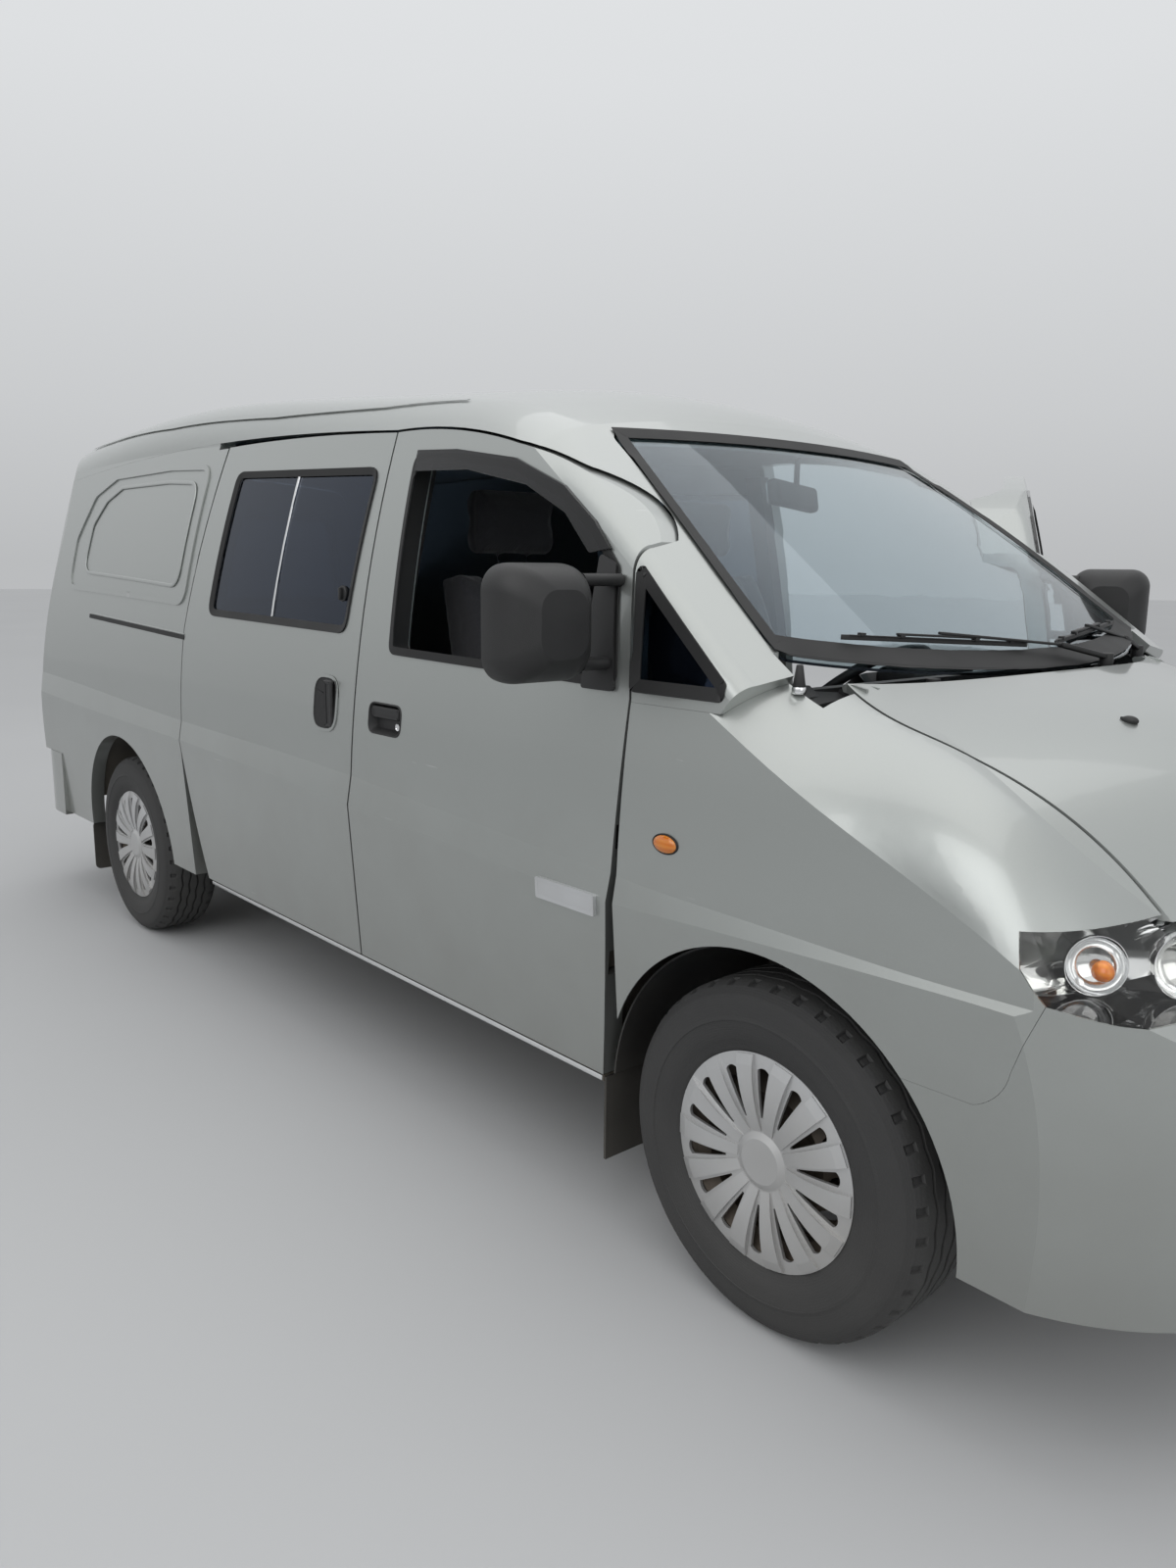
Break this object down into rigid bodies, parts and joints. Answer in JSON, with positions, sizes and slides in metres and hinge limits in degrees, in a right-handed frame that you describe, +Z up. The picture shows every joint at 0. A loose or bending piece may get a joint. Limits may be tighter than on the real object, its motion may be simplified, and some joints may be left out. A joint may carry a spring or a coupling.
{
  "type": "camper van",
  "caption": "Long panel van fitted as a camper: hinged cab doors, bonnet and tailgate, steered front wheels, bed over a hollow load space",
  "frame": {"origin": "on the ground, on the centre plane, midway between the front and rear axles", "axes": "+X points forward, +Y to the van's left, where the driver sits, +Z up"},
  "size_m": [5.0499, 2.8636, 1.9657],
  "materials": {
    "body_paint": "light silver metallic paint with a slightly green grey tone",
    "underbody": "black underbody paint",
    "castings": "rough grey castings",
    "black_plastic": "grained black plastic",
    "soft_rubber": "matt black rubber sheet",
    "clear_lamp": "clear lens",
    "red_lamp": "red lens",
    "clear_glass": "clear laminated glass",
    "dark_glass": "dark privacy glass",
    "steering_grip": "dark grained grip",
    "seat_steel": "black seat boxes",
    "seat_cloth": "dark grey woven cloth",
    "bed_cloth": "grey cloth",
    "plywood": "birch plywood, clear varnish",
    "tyre_rubber": "worn grey black tread",
    "wheel_steel": "dark painted pressed steel",
    "cover_silver": "silver painted plastic"
  },
  "bodies": {
    "body": {"roof_panel": "body_paint", "body_side_right": "body_paint", "body_side_left": "body_paint", "sliding_door": "body_paint", "front_fenders": "body_paint", "front_bumper": "body_paint", "rear_bumper": "body_paint", "floor_pan": "underbody", "chassis_frame": "underbody", "front_suspension": "underbody", "rear_axle": "underbody", "fuel_tank": "underbody", "exhaust": "underbody", "engine_block": "castings", "arch_liners": "black_plastic", "grille": "black_plastic", "cowl": "black_plastic", "wipers": "black_plastic", "dashboard": "black_plastic", "mudflaps": "soft_rubber", "headlamps": "clear_lamp", "tail_lamps": "red_lamp", "windscreen": "clear_glass", "side_windows": "dark_glass", "seat_bases": "seat_steel", "seat_cushions": "seat_cloth", "seat_backs": "seat_cloth", "headrests": "seat_cloth", "mattress": "bed_cloth", "bed_frame": "plywood", "side_cabinet": "plywood", "spare_wheel": "wheel_steel"},
    "front_door_right": {"front_door_right": "body_paint", "mirror_right": "black_plastic", "wind_deflector_right": "black_plastic"},
    "front_door_left": {"front_door_left": "body_paint", "mirror_left": "black_plastic", "wind_deflector_left": "black_plastic"},
    "bonnet": {"bonnet": "body_paint"},
    "tailgate": {"tailgate": "body_paint", "tailgate_glass": "dark_glass"},
    "steering_wheel": {"steering_wheel": "steering_grip"},
    "knuckle_right": {"knuckle_right": "castings"},
    "knuckle_left": {"knuckle_left": "castings"},
    "road_wheel_front_right": {"tyre_front_right": "tyre_rubber", "wheel_front_right": "wheel_steel", "wheel_cover_front_right": "cover_silver"},
    "road_wheel_front_left": {"tyre_front_left": "tyre_rubber", "wheel_front_left": "wheel_steel", "wheel_cover_front_left": "cover_silver"},
    "road_wheel_rear_right": {"tyre_rear_right": "tyre_rubber", "wheel_rear_right": "wheel_steel", "wheel_cover_rear_right": "cover_silver"},
    "road_wheel_rear_left": {"tyre_rear_left": "tyre_rubber", "wheel_rear_left": "wheel_steel", "wheel_cover_rear_left": "cover_silver"}
  },
  "joints": [
    {"name": "steer_left", "type": "hinge", "parent": "body", "child": "knuckle_left", "pos_m": [1.54, 0.7, 0.33], "axis": [0, 0, 1], "range_deg": [-35, 35]},
    {"name": "steer_right", "type": "hinge", "parent": "body", "child": "knuckle_right", "pos_m": [1.54, -0.7, 0.33], "axis": [0, 0, 1], "range_deg": [-35, 35]},
    {"name": "steering_turn", "type": "hinge", "parent": "body", "child": "steering_wheel", "pos_m": [0.83, 0.37, 1.035], "axis": [-0.6157, 0, 0.788], "range_deg": [-525, 525]},
    {"name": "front_door_right_swing", "type": "hinge", "parent": "body", "child": "front_door_right", "pos_m": [1.112, -0.878, 0.73], "axis": [0, 0, 1], "range_deg": [0, 65]},
    {"name": "front_door_left_swing", "type": "hinge", "parent": "body", "child": "front_door_left", "pos_m": [1.112, 0.878, 0.73], "axis": [0, 0, -1], "range_deg": [-63, 2]},
    {"name": "bonnet_lift", "type": "hinge", "parent": "body", "child": "bonnet", "pos_m": [1.484, 0, 1.16], "axis": [0, -1, 0], "range_deg": [0, 50]},
    {"name": "tailgate_lift", "type": "hinge", "parent": "body", "child": "tailgate", "pos_m": [-2.58, 0, 1.764], "axis": [0, 1, 0], "range_deg": [0, 85]},
    {"name": "spin_front_right", "type": "hinge", "parent": "knuckle_right", "child": "road_wheel_front_right", "pos_m": [1.54, -0.785, 0.33], "axis": [0, 1, 0], "continuous": true},
    {"name": "spin_front_left", "type": "hinge", "parent": "knuckle_left", "child": "road_wheel_front_left", "pos_m": [1.54, 0.785, 0.33], "axis": [0, 1, 0], "continuous": true},
    {"name": "spin_rear_right", "type": "hinge", "parent": "body", "child": "road_wheel_rear_right", "pos_m": [-1.54, -0.775, 0.33], "axis": [0, 1, 0], "continuous": true},
    {"name": "spin_rear_left", "type": "hinge", "parent": "body", "child": "road_wheel_rear_left", "pos_m": [-1.54, 0.775, 0.33], "axis": [0, 1, 0], "continuous": true}
  ],
  "couplings": [
    {"joint": "steer_right", "follows": "steer_left", "ratio": 1},
    {"joint": "steering_turn", "follows": "steer_left", "ratio": 15}
  ]
}
